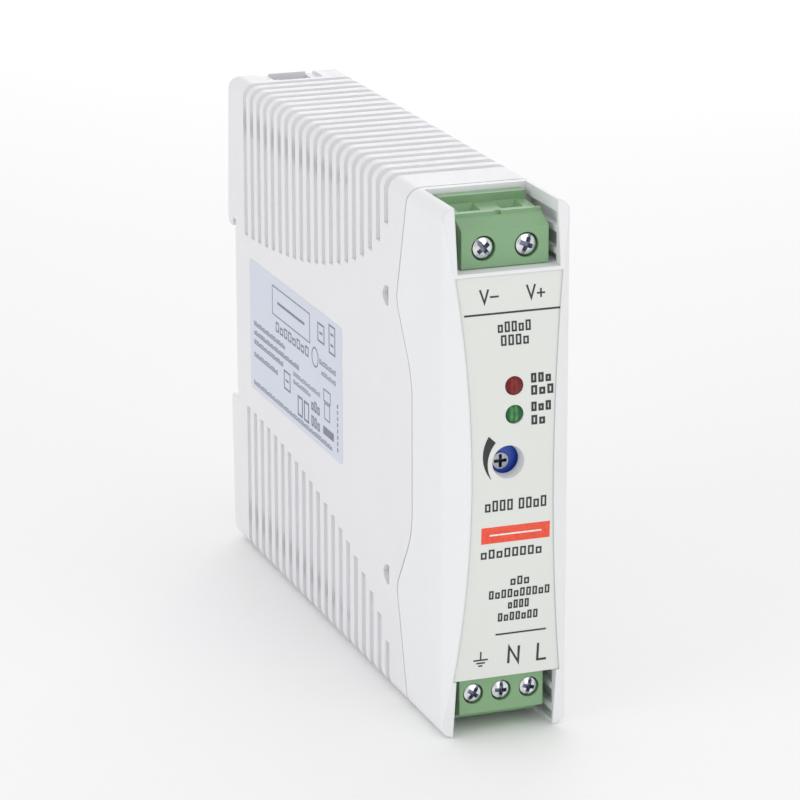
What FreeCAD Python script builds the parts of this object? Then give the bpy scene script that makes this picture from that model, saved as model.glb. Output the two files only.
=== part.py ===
import FreeCAD, Part
import math
import os
import re
import Sketcher

# A slim power supply for a 35 mm DIN rail, 22.5 mm wide, modelled as it comes apart.
# Frame: X across the width, +Y towards the rail, +Z up. The origin is the middle of the rail seat,
# half way up the case. The front faces -Y. Millimetres.

SIZES = {
    # case envelope
    "case_width": 22.5,
    "case_height": 91.0,
    "nose_depth": 114.55,       # rail seat to the foremost point of the cover
    "front_radius": 272.0,      # bow of the front, seen from the side
    "corner_depth": 110.75,     # rail seat to where the 45 degree front corners start
    "corner_round": 0.8,
    "edge_round": 2.5,
    "side_wall": 1.8,
    "end_wall": 1.9,
    "front_wall": 1.9,
    "back_inside": 3.4,         # rail seat to the inside of the back wall
    # rail hook, seat and lower block
    "hook_depth": 4.4,
    "hook_top_depth": 3.1,
    "hook_lip": 16.9,
    "hook_slot": 18.4,
    "rail_gap": 1.6,
    "seat_relief": 0.3,
    "seat_top": 16.6,
    "seat_bottom": 14.6,
    "block_top": 16.8,
    "block_depth": 3.7,
    "block_low_depth": 2.85,
    "back_round": 2.6,
    # seam between cover and housing
    "seam_gap": 0.35,
    "seam_end": 95.3,
    "seam_ear": 90.0,
    "seam_ear_height": 26.2,
    "seam_step": 95.2,
    "seam_step_height": 16.9,
    "seam_middle": 97.4,
    "seam_middle_height": 9.5,
    "seam_curve": 13.4,
    # vents
    "vent_count": 20,
    "vent_pitch": 4.105,
    "vent_first": 6.75,
    "vent_width": 1.9,
    "vent_depth": 0.9,
    "vent_field_start": 4.6,
    "vent_field_length": 91.5,
    "vent_field_low": 16.6,
    "vent_field_rise": 26.3,
    "slot_count": 15,
    "slot_outer": 40.5,
    "slot_length": 4.3,
    "slot_fade": 14.6,
    # snap windows and snap arms
    "window_back": 82.8,
    "window_front": 85.7,
    "window_half_height": 1.65,
    "window_round": 2.4,
    "window_height": 24.8,
    "arm_thickness": 0.7,
    "arm_clearance": 0.1,
    "arm_half_width": 3.6,
    "arm_front": 98.5,
    "arm_back": 82.0,
    "barb_height": 1.0,
    "barb_inset": 0.3,
    "barb_gap": 1.6,
    # front panel
    "panel_recess": 0.35,
    "panel_inset": 0.3,
    "panel_high": 34.15,
    "panel_low": 35.16,
    "label_thickness": 0.15,
    "label_gap": 0.06,
    "led_x": 0.36,
    "led_low_z": 15.8,
    "led_on_z": 11.0,
    "led_radius": 1.5,
    "led_hole_radius": 1.6,
    "led_dome": 2.6,
    "led_tip": 114.3,
    "led_flange_depth": 109.4,
    "trimmer_x": -1.0,
    "trimmer_z": 2.4,
    "trimmer_hole_x": -0.75,
    "trimmer_hole_z": 3.05,
    "trimmer_hole_front": 2.85,
    "trimmer_hole_back": 2.05,
    "trimmer_size": 6.6,
    "trimmer_face": 111.1,
    "rotor_radius": 1.4,
    "rotor_clearance": 0.05,
    "rotor_depth": 2.0,
    # terminal pockets
    "pocket_half_width": 8.94,
    "pocket_back": 96.8,
    "pocket_wall": 1.35,
    "top_pocket": 34.82,
    "bottom_pocket": 35.06,
    "ear_groove_depth": 1.15,
    "ear_groove_front": 110.4,
    # terminal blocks, depths counted back from the rail seat
    "block_face": 109.85,
    "block_back": 97.1,
    "ridge_front": 106.5,
    "ridge_back": 105.6,
    "entry_deck_back": 99.3,
    "head_front": 109.9,
    "head_back": 107.9,
    "head_dome": 2.2,
    "cell_front": 107.5,
    "cell_back": 99.1,
    "clamp_front": 105.4,
    "clamp_back": 99.2,
    "clamp_front_wall": 1.2,
    "clamp_back_wall": 0.8,
    "clamp_side_wall": 0.5,
    "bar_front": 103.6,
    "bar_thickness": 0.6,
    "tip_gap": 0.1,
    "entry_depth": 101.5,
    "funnel_depth": 1.2,
    "pin_end": 92.6,
    "pin_width": 1.0,
    "pin_clearance": 0.15,
    "output_base": 34.95,
    "output_half_width": 7.6,
    "output_x": 0.2,
    "output_pitch": 7.5,
    "output_rise": 3.25,
    "output_face_top": 6.3,
    "output_ridge_top": 8.45,
    "output_deck": 8.3,
    "output_top": 9.7,
    "output_head_radius": 1.75,
    "output_hole_radius": 2.1,
    "output_thread_radius": 1.5,
    "output_clamp_half": 2.6,
    "output_clamp_low": 2.0,
    "output_clamp_high": 2.4,
    "output_entry_radius": 1.4,
    "output_funnel_half": 2.1,
    "input_base": 35.95,
    "input_half_width": 7.5,
    "input_x": 0.0,
    "input_pitch": 5.0,
    "input_rise": 2.6,
    "input_face_top": 6.1,
    "input_ridge_top": 7.9,
    "input_deck": 7.8,
    "input_top": 8.9,
    "input_head_radius": 1.55,
    "input_hole_radius": 1.8,
    "input_thread_radius": 1.25,
    "input_clamp_half": 1.95,
    "input_clamp_low": 1.65,
    "input_clamp_high": 2.2,
    "input_entry_radius": 1.2,
    "input_funnel_half": 1.8,
    "cell_gap": 0.2,
    # rail latch
    "latch_half_width": 5.9,
    "latch_clearance": 0.2,
    "latch_inner": 1.45,
    "latch_outer": 3.3,
    "latch_low_outer": 2.4,
    "latch_low": 44.9,
    "latch_shoulder": 17.0,
    "latch_nose": 15.4,
    "latch_nose_gap": 1.25,
    "latch_nose_tip": 1.9,
    "latch_nose_root": 18.2,
    "latch_wing": 1.2,
    "wing_low": 42.0,
    "wing_top": 24.4,
    "wing_outer": 0.15,
    "spring_window_half": 2.2,
    "spring_window_top": 24.0,
    "spring_window_low": 40.4,
    "spring_seat": 35.6,
    "spring_seat_height": 1.0,
    "spring_radius": 1.2,
    "spring_wire": 0.2,
    "spring_turns": 6,
    "spring_y": 0.1,
    # top rear recess
    "notch_half_width": 3.6,
    "notch_front": 4.4,
    "notch_back": 1.9,
    "notch_depth": 5.0,
    "notch_step_left": 6.3,
    "notch_step_right": 5.2,
    "notch_step_front": 4.0,
    "notch_step_depth": 0.6,
    # rating label on the left side
    "rating_front": 61.6,
    "rating_back": 8.6,
    "rating_low": 12.2,
    "rating_high": 13.0,
    "rating_thickness": 0.1,
    # boards
    "board_thickness": 1.6,
    "main_board_face": 6.3,
    "main_board_front": 93.6,
    "main_board_back": 7.0,
    "main_board_half_height": 42.6,
    "front_board_front": 95.3,
    "front_board_half_width": 8.4,
    "front_board_half_height": 43.0,
    "small_board_front": 106.5,
    "small_board_half_width": 8.3,
    "small_board_low": 3.5,
    "small_board_high": 21.0,
    "guide_height": 1.6,
    "guide_thickness": 0.9,
    "guide_front": 80.0,
    "guide_back": 12.0,
    "sheet_thickness": 0.3,
    "sheet_gap": 0.15,
}

# Electronic parts on the main board: where each stands (depth from the rail seat, height) and its size.
COMPONENTS = {
    "fuse": {"depth": 87.0, "level": -36.0, "radius": 4.2, "reach": 7.7},
    "thermistor": {"depth": 87.5, "level": -23.0, "radius": 4.5, "thickness": 3.6},
    "varistor": {"depth": 78.5, "level": -35.5, "radius": 4.6, "thickness": 4.0},
    "x_capacitor": {"depth": 70.5, "level": -33.5, "thickness": 6.0, "span": 13.0, "reach": 12.0},
    "choke": {"depth": 59.5, "level": -33.5, "ring": 4.9, "core": 1.9, "wound": 2.7},
    "bridge": {"depth": 47.5, "level": -36.0, "thickness": 6.5, "span": 8.4, "reach": 3.4},
    "bulk_capacitor": {"depth": 41.5, "level": -34.0, "radius": 6.25, "span": 20.0},
    "transformer": {"depth": 62.0, "level": 0.0, "span": 20.0, "leg": 5.9, "winding": 6.4},
    "controller": {"depth": 37.0, "level": -14.0, "thickness": 6.4, "span": 9.4, "reach": 3.3},
    "optocoupler": {"depth": 37.0, "level": 6.0, "thickness": 4.6, "span": 6.5, "reach": 3.5},
    "y_capacitor": {"depth": 45.5, "level": -1.0, "radius": 4.0, "thickness": 3.4},
    "output_capacitor": {"depth": 56.0, "level": 34.5, "radius": 5.0, "span": 16.0},
    "inductor": {"depth": 82.0, "level": 33.0, "radius": 4.2, "reach": 9.0},
    "switch": {"depth": 12.6, "level": -20.0, "span": 10.0, "reach": 14.5, "thickness": 4.4},
    "rectifier": {"depth": 12.6, "level": 22.0, "span": 10.0, "reach": 14.5, "thickness": 4.4},
    "heat_sink": {"depth": 8.4, "thickness": 1.5, "span": 24.0, "reach": 15.0, "fin": 6.0},
    "resistor": {"depth": 30.0, "level": 14.0, "radius": 1.15, "span": 6.3, "pitch": 4.0, "count": 4},
    "diode": {"depth": 28.0, "level": -22.0, "radius": 1.35, "span": 5.2, "pitch": 4.5, "count": 2},
}

for component, measures in COMPONENTS.items():
    for measure, number in measures.items():
        SIZES[component + "_" + measure] = number

doc = FreeCAD.newDocument("din_rail_power_supply")
sheet = doc.addObject("Spreadsheet::Sheet", "Sizes")
for row, (alias, number) in enumerate(SIZES.items(), start=1):
    sheet.set("A%d" % row, alias)
    sheet.set("B%d" % row, str(number))
    sheet.setAlias("B%d" % row, alias)
doc.recompute()

sub_parts = []

# ---------------------------------------------------------------------------------------------
# Helpers: every length below is an expression in the sheet's aliases.
# ---------------------------------------------------------------------------------------------


def formula(text):
    """Turn an expression in plain aliases into one that FreeCAD can bind."""
    return re.sub(r"[a-z_]+", lambda word: "Sizes." + word[0] if word[0] in SIZES else word[0], str(text))


def number(text):
    """The value of an expression now, used only to place sketch geometry before it is constrained."""
    return float(sheet.evalExpression(formula(text)))


def bind(thing, name, text):
    thing.setExpression(name, formula(text))


def part(thing, label):
    """Name an object as a sub-part, so that it is written out."""
    thing.Label = label
    sub_parts.append(thing)
    return thing


def box(name, x, y, z):
    """A block between two values on each axis."""
    solid = doc.addObject("Part::Box", name)
    for edge, axis, (low, high) in zip(("Length", "Width", "Height"), "xyz", (x, y, z)):
        bind(solid, edge, "(%s) - (%s)" % (high, low))
        bind(solid, "Placement.Base." + axis, low)
    return solid


def turned(axis):
    """The rotation that points a primitive's own Z axis along the named axis."""
    directions = {"x": FreeCAD.Vector(1, 0, 0), "y": FreeCAD.Vector(0, 1, 0), "z": FreeCAD.Vector(0, 0, 1)}
    return FreeCAD.Rotation(FreeCAD.Vector(0, 0, 1), directions[axis])


def rod(name, axis, centre, span, radius, far_radius=None):
    """A round bar, or a cone where far_radius is given, along an axis between two values on it."""
    solid = doc.addObject("Part::Cone" if far_radius else "Part::Cylinder", name)
    solid.Placement.Rotation = turned(axis)
    bind(solid, "Radius1" if far_radius else "Radius", radius)
    if far_radius:
        bind(solid, "Radius2", far_radius)
    bind(solid, "Height", "(%s) - (%s)" % (span[1], span[0]))
    places = dict(zip("xyz".replace(axis, ""), centre))
    places[axis] = span[0]
    for direction, place in places.items():
        bind(solid, "Placement.Base." + direction, place)
    return solid


def ball(name, x, y, z, radius):
    solid = doc.addObject("Part::Sphere", name)
    bind(solid, "Radius", radius)
    for axis, place in zip("xyz", (x, y, z)):
        bind(solid, "Placement.Base." + axis, place)
    return solid


def torus(name, axis, centre, ring, tube, start=0, sweep=360):
    """A ring, or a sector of one, about an axis."""
    solid = doc.addObject("Part::Torus", name)
    solid.Placement.Rotation = turned(axis) * FreeCAD.Rotation(FreeCAD.Vector(0, 0, 1), start)
    bind(solid, "Radius1", ring)
    bind(solid, "Radius2", tube)
    solid.Angle3 = sweep
    for direction, place in zip("xyz", centre):
        bind(solid, "Placement.Base." + direction, place)
    return solid


def fuse(name, solids):
    union = doc.addObject("Part::MultiFuse", name)
    union.Shapes = solids
    return union


def cut(name, base, tools):
    difference = doc.addObject("Part::Cut", name)
    difference.Base = base
    difference.Tool = tools[0] if len(tools) == 1 else fuse(name + "_tools", tools)
    return difference


def common(name, solids):
    overlap = doc.addObject("Part::MultiCommon", name)
    overlap.Shapes = solids
    return overlap


def rounded(name, base, radius, chosen):
    """Round the edges that the function chosen picks out."""
    doc.recompute()
    smooth = doc.addObject("Part::Fillet", name)
    smooth.Base = base
    picked = [place for place, edge in enumerate(base.Shape.Edges, start=1) if chosen(edge)]
    smooth.Edges = [(place, number(radius), number(radius)) for place in picked]
    return smooth


def arc_geometry(start, end, radius):
    """An arc from start to end; a positive radius bows it to the right of its way."""
    chord = end - start
    offset = math.sqrt(max(radius * radius - chord.Length ** 2 / 4, 0))
    side = FreeCAD.Vector(-chord.y, chord.x, 0).normalize() * math.copysign(offset, radius)
    centre = (start + end) * 0.5 + side
    first, last = (start, end) if radius > 0 else (end, start)
    angles = [math.atan2(spot.y - centre.y, spot.x - centre.x) for spot in (first, last)]
    circle = Part.Circle(centre, FreeCAD.Vector(0, 0, 1), abs(radius))
    return Part.ArcOfCircle(circle, angles[0], angles[1])


def sketch_outline(body, plane, corners, offset):
    """A closed outline on an origin plane. A corner is (across, up) or (across, up, radius of the
    arc that leads on to the next corner), each an expression that is bound to a constraint."""
    sketch = body.newObject("Sketcher::SketchObject", body.Name + "_outline")
    origin = [feature for feature in body.Origin.OriginFeatures if feature.Role == plane]
    sketch.AttachmentSupport = [(origin[0], "")]
    sketch.MapMode = "FlatFace"
    bind(sketch, "AttachmentOffset.Base.z", offset)
    spots = [FreeCAD.Vector(number(corner[0]), number(corner[1]), 0) for corner in corners]
    ends = []
    for place, corner in enumerate(corners):
        start, end = spots[place], spots[(place + 1) % len(spots)]
        if len(corner) == 2:
            sketch.addGeometry(Part.LineSegment(start, end), False)
            ends.append((1, 2))
            continue
        radius = number(corner[2])
        sketch.addGeometry(arc_geometry(start, end, radius), False)
        ends.append((1, 2) if radius > 0 else (2, 1))
        size = sketch.addConstraint(Sketcher.Constraint("Radius", place, abs(radius)))
        bind(sketch, "Constraints[%d]" % size, "abs(%s)" % corner[2])
    for place, corner in enumerate(corners):
        after = (place + 1) % len(corners)
        sketch.addConstraint(Sketcher.Constraint("Coincident", place, ends[place][1], after, ends[after][0]))
        for direction, text, value in zip("XY", corner, spots[place]):
            fixed = Sketcher.Constraint("Distance" + direction, -1, 1, place, ends[place][0], value)
            bind(sketch, "Constraints[%d]" % sketch.addConstraint(fixed), text)
    return sketch


def slab(name, plane, corners, low, high):
    """A body padded from an outline, between two values on the axis square to its plane."""
    body = doc.addObject("PartDesign::Body", name)
    # The XZ plane faces -Y, so its pad starts at the high side.
    offset = "-(%s)" % high if plane == "XZ_Plane" else low
    sketch = sketch_outline(body, plane, corners, offset)
    pad = body.newObject("PartDesign::Pad", name + "_pad")
    pad.Profile = sketch
    bind(pad, "Length", "(%s) - (%s)" % (high, low))
    return body


# ---------------------------------------------------------------------------------------------
# Case
# ---------------------------------------------------------------------------------------------

HALF_WIDTH = "case_width / 2"
HALF_HEIGHT = "case_height / 2"
BEYOND = "case_height"


def bowed_depth(nose, height):
    """Y of the bowed front at a height, for a bow whose foremost point is at the depth nose."""
    return "front_radius - (%s) - sqrt(front_radius^2 - (%s)^2)" % (nose, height)


def front_view(name, inset):
    """The case seen from the front: a rectangle with rounded corners, right through the depth."""
    side = "case_width / 2 - %s" % inset
    end = "case_height / 2 - %s" % inset
    turn = "edge_round - %s" % inset
    corners = []
    for sign_x, sign_z in ((1, -1), (1, 1), (-1, 1), (-1, -1)):
        along = ("%d * (%s)" % (sign_x, side), "%d * (%s - (%s))" % (sign_z, end, turn))
        across = ("%d * (%s - (%s))" % (sign_x, side, turn), "%d * (%s)" % (sign_z, end))
        first, second = (across, along) if sign_x * sign_z < 0 else (along, across)
        corners += [first + (turn,), second]
    return slab(name, "XZ_Plane", corners, "-nose_depth - 1", "hook_depth + 1")


def side_view():
    """The case seen from the side: bowed front, hook, rail seat and lower block."""
    corners = [
        (bowed_depth("nose_depth", HALF_HEIGHT), HALF_HEIGHT, "front_radius"),
        (bowed_depth("nose_depth", HALF_HEIGHT), "-" + HALF_HEIGHT),
        ("block_low_depth - back_round", "-" + HALF_HEIGHT, "back_round"),
        ("block_low_depth", "back_round - " + HALF_HEIGHT),
        ("block_depth", "-block_top - 1.4"),
        ("block_depth - 0.2", "-block_top - 0.3"),
        ("block_depth - 0.6", "-block_top"),
        ("-seat_relief", "-block_top"),
        ("-seat_relief", "-seat_bottom"),
        ("0", "-seat_bottom"),
        ("0", "seat_top"),
        ("-seat_relief", "seat_top"),
        ("-seat_relief", "hook_slot"),
        ("rail_gap", "hook_slot"),
        ("rail_gap", "hook_lip"),
        ("hook_depth - 0.9", "hook_lip"),
        ("hook_depth", "hook_lip + 0.9"),
        ("hook_depth", "hook_slot + 0.4"),
        ("hook_top_depth", HALF_HEIGHT + " - 1.5", "1.5"),
        ("hook_top_depth - 1.5", HALF_HEIGHT),
    ]
    return slab("side_view", "YZ_Plane", corners, "-" + BEYOND, BEYOND)


def plan_view():
    """The case seen from above: 45 degree front corners with a soft turn into the sides."""
    slant = "corner_round * cos(45)"
    turn = "corner_round / tan(22.5)"
    nose_half = "case_width / 2 + corner_depth - nose_depth - 1"
    corners = [
        (HALF_WIDTH, "hook_depth + 1"),
        ("-" + HALF_WIDTH, "hook_depth + 1"),
        ("-" + HALF_WIDTH, "corner_round - corner_depth", turn),
        ("%s - case_width / 2" % slant, "-corner_depth - %s" % slant),
        ("-(%s)" % nose_half, "-nose_depth - 1"),
        (nose_half, "-nose_depth - 1"),
        ("case_width / 2 - %s" % slant, "-corner_depth - %s" % slant, turn),
        (HALF_WIDTH, "corner_round - corner_depth"),
    ]
    return slab("plan_view", "XY_Plane", corners, "-" + BEYOND, BEYOND)


def cover_zone():
    """Side view of all that belongs to the cover: forward of the seam with its two pairs of ears."""
    upper = [
        ("-seam_end", HALF_HEIGHT),
        ("-seam_ear", "seam_ear_height"),
        ("-seam_ear - 0.4", "seam_ear_height - 2"),
        ("-seam_step", "seam_step_height", "seam_curve"),
        ("-seam_middle", "seam_middle_height"),
    ]
    lower = [
        ("-seam_middle", "-seam_middle_height", "seam_curve"),
        ("-seam_step", "-seam_step_height"),
        ("-seam_ear - 0.4", "2 - seam_ear_height"),
        ("-seam_ear", "-seam_ear_height"),
        ("-seam_end", "-" + HALF_HEIGHT),
        ("-seam_end", "-" + BEYOND),
        ("-nose_depth - 5", "-" + BEYOND),
        ("-nose_depth - 5", BEYOND),
        ("-seam_end", BEYOND),
    ]
    return slab("cover_zone", "YZ_Plane", upper + lower, "-case_width", "case_width")


def cavity():
    """The hollow of the closed case, with the front's bow on its inside."""
    inner_height = "case_height / 2 - end_wall"
    inner_front = bowed_depth("nose_depth - panel_recess - front_wall", inner_height)
    corners = [
        (inner_front, inner_height, "front_radius"),
        (inner_front, "-(%s)" % inner_height),
        ("-back_inside", "-(%s)" % inner_height),
        ("-back_inside", inner_height),
    ]
    inner_side = "case_width / 2 - side_wall"
    return slab("cavity", "YZ_Plane", corners, "-(%s)" % inner_side, inner_side)


def panel_zone(name, gap, front, back):
    """The front panel's hourglass sheet between two bows, narrowed by the 45 degree corners."""
    high = "(panel_high - %s)" % gap
    low = "(panel_low - %s)" % gap
    side_corners = [
        (bowed_depth(front, high), high, "front_radius"),
        (bowed_depth(front, low), "-" + low),
        (bowed_depth(back, low), "-" + low, "-front_radius"),
        (bowed_depth(back, high), high),
    ]
    between = slab(name + "_bow", "YZ_Plane", side_corners, "-case_width", "case_width")
    plan_corners = []
    for depth in ("nose_depth + 2", "corner_depth"):
        half = "case_width / 2 + corner_depth - (%s) - panel_inset - %s" % (depth, gap)
        plan_corners.append(("-(%s)" % half, "-(%s)" % depth))
        plan_corners.append((half, "-(%s)" % depth))
    order = [plan_corners[0], plan_corners[1], plan_corners[3], plan_corners[2]]
    trapezium = slab(name + "_plan", "XY_Plane", order, "-" + BEYOND, BEYOND)
    return common(name, [between, trapezium])


def panel_holes(prefix, front, back):
    """The two lamp holes and the tapered trimmer hole, through whatever lies between two depths."""
    span = ("-(%s)" % front, "-(%s)" % back)
    holes = [
        rod(prefix + "_lamp_hole_" + name, "y", ("led_x", "led_%s_z" % name), span, "led_hole_radius")
        for name in ("low", "on")
    ]
    trimmer = ("trimmer_hole_x", "trimmer_hole_z")
    radii = ("trimmer_hole_front", "trimmer_hole_back")
    holes.append(rod(prefix + "_trimmer_hole", "y", trimmer, span, *radii))
    return holes


# Heights of the grooves in the ears' inner faces, measured away from the panel from the block's base.
GUIDE_GROOVES = {
    "output": (("0.1", "1.35"), ("2.4", "5"), ("6.1", "8.4")),
    "input": (("0.1", "2.3"), ("3.5", "6"), ("7.2", "8.8")),
}

# How far each clamp screw happens to be turned, in degrees.
SCREW_TURNS = {
    "output_screw_1": 52,
    "output_screw_2": 113,
    "input_screw_1": 127,
    "input_screw_2": 94,
    "input_screw_3": 104,
}

TERMINALS = {
    "output": {"side": 1, "poles": 2, "pocket": "top_pocket", "size": "M3"},
    "input": {"side": -1, "poles": 3, "pocket": "bottom_pocket", "size": "M2.5"},
}


def pole_places(kind):
    """X of each pole of a terminal block, from left to right."""
    poles = TERMINALS[kind]["poles"]
    return ["%s_x + %g * %s_pitch" % (kind, pole - (poles - 1) / 2, kind) for pole in range(poles)]


def terminal_span(kind, low, high):
    """A Z span from two heights counted from the panel side of a terminal block outwards."""
    if TERMINALS[kind]["side"] > 0:
        return ("%s_base + %s" % (kind, low), "%s_base + %s" % (kind, high))
    return ("-(%s_base + %s)" % (kind, high), "-(%s_base + %s)" % (kind, low))


def pin_slots(kind, name, front, back, clearance):
    """Openings for a terminal block's pins through whatever lies between two depths."""
    slots = []
    for pole, x in enumerate(pole_places(kind), start=1):
        half = "(pin_width / 2 + %s)" % clearance
        across = ("%s - %s" % (x, half), "%s + %s" % (x, half))
        low = "(%s_rise - %s_clamp_low - 0.15 - bar_thickness - %s)" % (kind, kind, clearance)
        high = "(%s_rise - %s_clamp_low - 0.15 + %s)" % (kind, kind, clearance)
        upright = terminal_span(kind, low, high)
        depth = ("-(%s)" % front, "-(%s)" % back)
        slots.append(box("%s_%s_%d" % (name, kind, pole), across, depth, upright))
    return slots


def pocket_span(kind, margin, far):
    """The Z span of a terminal pocket, widened towards the panel by a margin."""
    near = TERMINALS[kind]["pocket"]
    if TERMINALS[kind]["side"] > 0:
        return ("%s - %s" % (near, margin), far)
    return ("-(%s)" % far, "-(%s - %s)" % (near, margin))


def snap_window(name, inset, front_inset, low_x, high_x):
    """Half-round snap shapes at both heights, as prisms between two values of X."""
    prisms = []
    front = "-window_front + " + front_inset
    reach = "(window_half_height - %s)" % inset
    turn = "window_round - 2 * " + inset
    for place, level in enumerate(("window_height", "-window_height"), start=1):
        corners = [
            (front, "%s + %s" % (level, reach)),
            (front, "%s - %s" % (level, reach), turn),
            ("-window_back - " + inset, level, turn),
        ]
        prisms.append(slab("%s_%d" % (name, place), "YZ_Plane", corners, low_x, high_x))
    return prisms


def snap_arms():
    """Four springy arms of the cover that run inside the housing walls, each with a barb."""
    pieces = []
    outer = "(case_width / 2 - side_wall - arm_clearance)"
    for sign, side in ((1, "right"), (-1, "left")):
        faces = ["%d * (%s - arm_thickness)" % (sign, outer), "%d * %s" % (sign, outer)]
        barb = ["%d * (%s - 0.1)" % (sign, outer), "%d * (%s + barb_height)" % (sign, outer)]
        for place, level in enumerate(("window_height", "-window_height"), start=1):
            upright = ("%s - arm_half_width" % level, "%s + arm_half_width" % level)
            across = tuple(faces[::sign])
            pieces.append(box("arm_%s_%d" % (side, place), across, ("-arm_front", "-arm_back"), upright))
            inner_edge = "%d * (case_width / 2 - side_wall + 0.2)" % sign
            root_across = tuple([faces[0], inner_edge][::sign])
            root = ("-arm_front", "-arm_front + 2.4")
            pieces.append(box("arm_root_%s_%d" % (side, place), root_across, root, upright))
        pieces += snap_window("barb_" + side, "barb_inset", "barb_gap", *barb[::sign])
    return pieces


def front_cover(case, zone, hollow):
    """Bowed front shell with the two terminal pockets, its ears and four snap arms."""
    shell = cut("cover_shell", common("cover_solid", [case, zone]), [hollow])
    side = "case_width / 2 - side_wall + 0.1"
    walls = []
    pockets = []
    for kind in TERMINALS:
        depth = ("-nose_depth", "pocket_wall - pocket_back")
        height = pocket_span(kind, "pocket_wall", HALF_HEIGHT)
        walls.append(box("pocket_wall_" + kind, ("-(%s)" % side, side), depth, height))
        opening = ("-pocket_half_width", "pocket_half_width")
        inside = ("-nose_depth - 5", "-pocket_back")
        pockets.append(box("pocket_" + kind, opening, inside, pocket_span(kind, "0", BEYOND)))
        reach = "(pocket_half_width + ear_groove_depth)"
        for place, (low, high) in enumerate(GUIDE_GROOVES[kind], start=1):
            height = terminal_span(kind, low, high)
            depth = ("-ear_groove_front", "-pocket_back - 0.2")
            pockets.append(box("ear_groove_%s_%d" % (kind, place), ("-" + reach, reach), depth, height))
    pocket_walls = common("pocket_walls", [fuse("pocket_blocks", walls), case])
    recess = panel_zone("panel_recess_tool", "0", "nose_depth + 1", "nose_depth - panel_recess")
    openings = panel_holes("cover", "nose_depth", "nose_depth - 5") + [recess]
    for kind in TERMINALS:
        through = ("pocket_back + 0.1", "pocket_back - pocket_wall - 0.1")
        openings += pin_slots(kind, "wall_slot", *through, "pin_clearance")
    hollowed = cut("cover_pockets", fuse("cover_walls", [shell, pocket_walls]), pockets)
    whole = fuse("cover_whole", [hollowed] + snap_arms())
    return part(cut("front_cover", whole, openings), "front_cover")


def vent_grooves():
    """Grooves that wrap over the top and bottom and end on a curve along each side."""
    boxes = []
    for place in range(SIZES["vent_count"]):
        centre = "(vent_first + %d * vent_pitch)" % place
        reach = "sqrt(1 - ((vent_field_start + %s) / vent_field_length)^2)" % centre
        low = "vent_field_low + vent_field_rise * (1 - %s)" % reach
        depth = ("-%s - vent_width / 2" % centre, "-%s + vent_width / 2" % centre)
        across = ("-case_width", "case_width")
        boxes.append(box("vent_upper_%d" % place, across, depth, (low, BEYOND)))
        boxes.append(box("vent_lower_%d" % place, across, depth, ("-" + BEYOND, "-(%s)" % low)))
    return cut("vent_tool", fuse("vent_boxes", boxes), [front_view("vent_core", "vent_depth")])


def vent_slots():
    """Through slots in the grooves near the top and bottom, shorter towards the front."""
    slots = []
    for place in range(SIZES["slot_count"]):
        centre = "(vent_first + %d * vent_pitch)" % place
        length = "slot_length * sqrt(1 - (%d / slot_fade)^2)" % place
        depth = ("-%s - vent_width / 2 + 0.2" % centre, "-%s + vent_width / 2 - 0.2" % centre)
        across = ("-case_width", "case_width")
        slots.append(box("slot_upper_%d" % place, across, depth, ("slot_outer - " + length, "slot_outer")))
        slots.append(box("slot_lower_%d" % place, across, depth, ("-slot_outer", length + " - slot_outer")))
    return slots


def latch_channel():
    """Tools that open the lower block for the latch: the channel and the grooves for its wings."""
    half = "(latch_half_width + latch_clearance)"
    channel_depth = ("-latch_inner - latch_clearance", "hook_depth + 1")
    channel = box("channel", ("-" + half, half), channel_depth, ("-" + BEYOND, "0.1 - block_top"))
    wing_half = "(latch_half_width + latch_wing + latch_clearance)"
    wing_depth = ("-latch_inner - latch_clearance", "wing_outer + latch_clearance")
    wings = box("wing_grooves", ("-" + wing_half, wing_half), wing_depth, ("-" + BEYOND, "-wing_top"))
    return [channel, wings]


def rear_housing(case, zone, hollow):
    """Ribbed rear shell with the rail hook, the rail seat and the latch channel."""
    shifted = doc.addObject("Part::Feature", "seam_zone")
    doc.recompute()
    shifted.Shape = zone.Shape.copy()
    bind(shifted, "Placement.Base.y", "seam_gap")
    shell = cut("housing_shell", case, [shifted, hollow, vent_grooves()] + vent_slots() + latch_channel())
    across = ("-notch_half_width", "notch_half_width")
    notches = [
        box("notch_deep", across, ("-notch_front", "notch_back"), (HALF_HEIGHT + " - notch_depth", BEYOND)),
    ]
    step_depth = ("-notch_step_front", "hook_depth + 1")
    step_height = (HALF_HEIGHT + " - notch_step_depth", BEYOND)
    notches.append(box("notch_step_1", ("-notch_step_left", "-notch_half_width"), step_depth, step_height))
    notches.append(box("notch_step_2", ("notch_half_width", "notch_step_right"), step_depth, step_height))
    windows = snap_window("window", "0", "0", "-case_width", "case_width")
    inner = "case_height / 2 - end_wall"
    rails = []
    for sign, name in ((1, "upper"), (-1, "lower")):
        height = ["%d * (%s - guide_height)" % (sign, inner), "%d * (%s + 0.1)" % (sign, inner)]
        across = ("main_board_face - guide_thickness - 0.1", "main_board_face - 0.1")
        depth = ("-guide_front", "-guide_back")
        rails.append(box("board_guide_" + name, across, depth, tuple(height[::sign])))
    seat_half = "(spring_window_half - latch_clearance)"
    seat_depth = ("-latch_inner - latch_clearance - 0.1", "latch_inner")
    seat_height = ("-spring_seat - spring_seat_height", "-spring_seat")
    spring_rib = box("spring_rib", ("-" + seat_half, seat_half), seat_depth, seat_height)
    opened = cut("housing_opened", shell, notches + windows)
    return part(fuse("rear_housing", [opened, spring_rib] + rails), "rear_housing")


def front_label():
    """Thin printed sheet in the recess of the front."""
    front = "nose_depth - panel_recess + label_thickness"
    sheet_zone = panel_zone("label_zone", "label_gap", front, "nose_depth - panel_recess")
    holes = panel_holes("label", "nose_depth", "nose_depth - 5")
    return part(cut("front_label", sheet_zone, holes), "front_label")


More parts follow.
